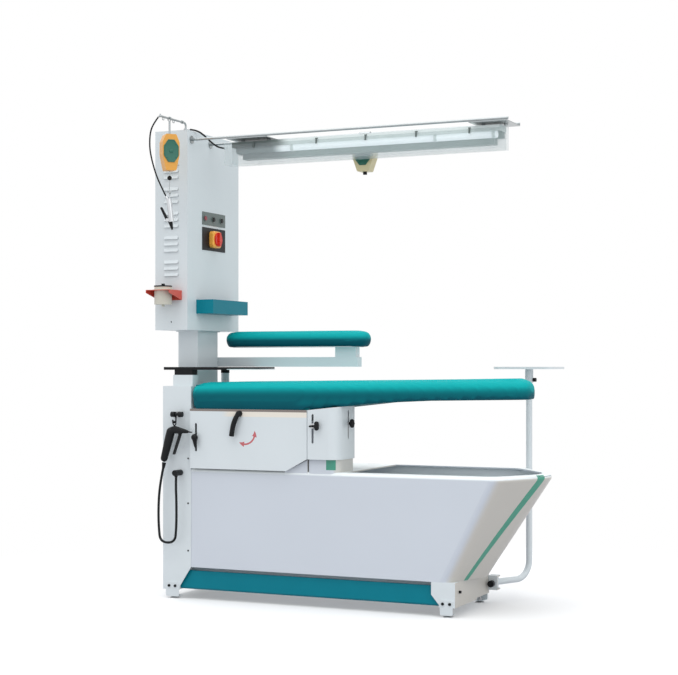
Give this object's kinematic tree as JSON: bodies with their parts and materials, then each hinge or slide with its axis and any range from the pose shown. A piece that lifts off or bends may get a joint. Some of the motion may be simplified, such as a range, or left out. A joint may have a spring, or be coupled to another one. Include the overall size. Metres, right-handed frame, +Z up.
{
  "type": "vacuum ironing table",
  "caption": "Vacuum ironing table with a catch basin, swing sleeve board, control tower, overhead lamp, hanging balancers, spray gun and side tray.",
  "frame": {"origin": "middle of the footprint's bounding box, on the floor", "axes": "+X to the right along the board towards its nose, +Y to the back, +Z up"},
  "size_m": [1.5462, 0.956, 1.9134],
  "materials": {
    "white_paint": "smooth semi-gloss powder coat",
    "basin_plastic": "smooth moulded plastic, satin",
    "teal_paint": "smooth semi-gloss",
    "red_paint": "smooth semi-gloss",
    "zinc_steel": "zinc plated, satin",
    "rod_chrome": "plated, bright",
    "gun_alloy": "satin",
    "black_plastic": "satin black",
    "black_rubber": "matte",
    "hose_black": "smooth, semi-matte",
    "pad_teal": "woven cover over foam",
    "plate_grey": "satin",
    "switch_yellow": "gloss",
    "switch_red": "gloss",
    "button_red": "gloss",
    "button_dark": "gloss",
    "balancer_orange": "smooth enamel",
    "fan_grey": "satin",
    "impeller_alloy": "cast, satin",
    "clear_plastic": "clear, slightly frosted",
    "tube_glass": "white coated glass",
    "cup_plastic": "milky, smooth"
  },
  "bodies": {
    "stand": {"leg_cabinet": "white_paint", "rear_covers": "white_paint", "fixing_bolts": "black_plastic", "foot_brackets": "white_paint", "levelling_feet": "zinc_steel", "base_frame": "white_paint", "catch_basin": "basin_plastic", "fan_housing": "fan_grey", "fan_motor": "fan_grey", "column": "white_paint", "tower_shell": "white_paint", "control_plates": "plate_grey", "switch_body": "switch_yellow", "contactor_box": "black_plastic", "tool_tray": "teal_paint", "cup_bracket": "red_paint", "overhead_frame": "rod_chrome", "lamp_reflector": "white_paint", "lamp_gear_tray": "plate_grey", "lamp_tube": "tube_glass", "lamp_cover": "clear_plastic", "lamp_cable": "hose_black", "hook_bar": "rod_chrome", "tool_balancer": "balancer_orange", "air_gun": "gun_alloy", "air_hose": "hose_black", "front_fittings": "black_plastic", "spray_gun": "black_plastic", "spray_hose": "hose_black", "iron_rest": "white_paint", "rest_posts": "white_paint", "rest_buffers": "black_rubber", "supply_fittings": "zinc_steel"},
    "fan": {"fan_impeller": "impeller_alloy"},
    "main_switch": {"main_switch_knob": "switch_red"},
    "button_front": {"push_button_front": "button_red"},
    "button_middle": {"push_button_middle": "button_dark"},
    "button_rear": {"push_button_rear": "button_dark"},
    "cup": {"spray_cup": "cup_plastic"},
    "lid": {"cup_lid": "black_plastic"},
    "iron_hanger": {"balancer_trolley": "rod_chrome", "iron_balancer": "balancer_orange"},
    "air_trigger": {"air_gun_trigger": "black_plastic"},
    "spray_trigger": {"spray_gun_trigger": "black_plastic"},
    "board": {"board_chamber": "white_paint", "board_pad": "pad_teal", "board_housing": "white_paint", "duct_box": "white_paint"},
    "changeover": {"changeover_lever": "black_plastic", "changeover_flap": "zinc_steel"},
    "knob_left": {"clamp_knob_left": "black_plastic"},
    "knob_front": {"clamp_knob_front": "black_plastic"},
    "knob_side": {"clamp_knob_side": "black_plastic"},
    "sleeve_board": {"sleeve_arm": "white_paint", "sleeve_pad": "pad_teal"},
    "pedal": {"foot_pedal": "teal_paint"},
    "pole": {"side_pole": "white_paint"},
    "pole_knob": {"pole_clamp_knob": "black_plastic"},
    "tray": {"side_tray": "white_paint"},
    "tray_clamp": {"tray_knob": "black_plastic"}
  },
  "joints": [
    {"name": "fan_spin", "type": "hinge", "parent": "stand", "child": "fan", "pos_m": [-0.288, -0.044, 0.56], "axis": [0, 0, 1], "continuous": true},
    {"name": "main_switch_turn", "type": "hinge", "parent": "stand", "child": "main_switch", "pos_m": [-0.603, -0.079, 1.4535], "axis": [1, 0, 0], "range_deg": [0, 90]},
    {"name": "button_front_press", "type": "slide", "parent": "stand", "child": "button_front", "axis": [-1, 0, 0], "range_m": [0, 0.0035], "stiffness_N_per_m": 600, "springref_m": -0.003},
    {"name": "button_middle_press", "type": "slide", "parent": "stand", "child": "button_middle", "axis": [-1, 0, 0], "range_m": [0, 0.0035], "stiffness_N_per_m": 600, "springref_m": -0.003},
    {"name": "button_rear_press", "type": "slide", "parent": "stand", "child": "button_rear", "axis": [-1, 0, 0], "range_m": [0, 0.0035], "stiffness_N_per_m": 600, "springref_m": -0.003},
    {"name": "cup_lift", "type": "slide", "parent": "stand", "child": "cup", "axis": [0, 0, 1], "range_m": [0, 0.08]},
    {"name": "lid_lift", "type": "slide", "parent": "cup", "child": "lid", "axis": [0, 0, 1], "range_m": [0, 0.03]},
    {"name": "iron_trolley_slide", "type": "slide", "parent": "stand", "child": "iron_hanger", "axis": [1, 0, 0], "range_m": [-0.32, 0.44]},
    {"name": "air_trigger_squeeze", "type": "hinge", "parent": "stand", "child": "air_trigger", "pos_m": [-0.6525, -0.403, 1.508], "axis": [0, 1, 0], "range_deg": [0, 15], "stiffness_Nm_per_rad": 0.3, "springref_deg": -17.19},
    {"name": "spray_trigger_squeeze", "type": "hinge", "parent": "stand", "child": "spray_trigger", "pos_m": [-0.668, -0.28, 0.66], "axis": [0, 1, 0], "range_deg": [0, 9], "stiffness_Nm_per_rad": 0.4, "springref_deg": -17.19},
    {"name": "board_lift", "type": "slide", "parent": "stand", "child": "board", "axis": [0, 0, 1], "range_m": [-0.032, 0.04]},
    {"name": "changeover_turn", "type": "hinge", "parent": "board", "child": "changeover", "pos_m": [-0.411, -0.256, 0.748], "axis": [0, -1, 0], "range_deg": [0, 55]},
    {"name": "knob_left_turn", "type": "hinge", "parent": "stand", "child": "knob_left", "pos_m": [-0.6085, -0.268, 0.648], "axis": [0, -1, 0], "range_deg": [0, 120]},
    {"name": "knob_front_turn", "type": "hinge", "parent": "stand", "child": "knob_front", "pos_m": [-0.093, -0.268, 0.704], "axis": [0, -1, 0], "range_deg": [0, 180]},
    {"name": "knob_side_turn", "type": "hinge", "parent": "stand", "child": "knob_side", "pos_m": [0.027, -0.157, 0.713], "axis": [1, 0, 0], "range_deg": [0, 180]},
    {"name": "sleeve_swing", "type": "hinge", "parent": "stand", "child": "sleeve_board", "pos_m": [-0.702, 0.046, 0.95], "axis": [0, 0, 1], "range_deg": [0, 100]},
    {"name": "pedal_press", "type": "hinge", "parent": "stand", "child": "pedal", "pos_m": [-0.128, 0.152, 0.06], "axis": [1, 0, 0], "range_deg": [0, 3.8], "stiffness_Nm_per_rad": 60, "springref_deg": -14.9},
    {"name": "pole_swing", "type": "hinge", "parent": "stand", "child": "pole", "pos_m": [0.492, 0.201, 0.079], "axis": [0, 0, 1], "range_deg": [0, 50]},
    {"name": "pole_knob_turn", "type": "hinge", "parent": "stand", "child": "pole_knob", "pos_m": [0.492, 0.152, 0.078], "axis": [0, -1, 0], "range_deg": [0, 180]},
    {"name": "tray_swivel", "type": "hinge", "parent": "pole", "child": "tray", "pos_m": [0.577, 0.378, 0.9], "axis": [0, 0, 1], "range_deg": [-90, 90]},
    {"name": "tray_clamp_turn", "type": "hinge", "parent": "tray", "child": "tray_clamp", "pos_m": [0.6, 0.378, 0.88], "axis": [1, 0, 0], "range_deg": [0, 180]}
  ]
}
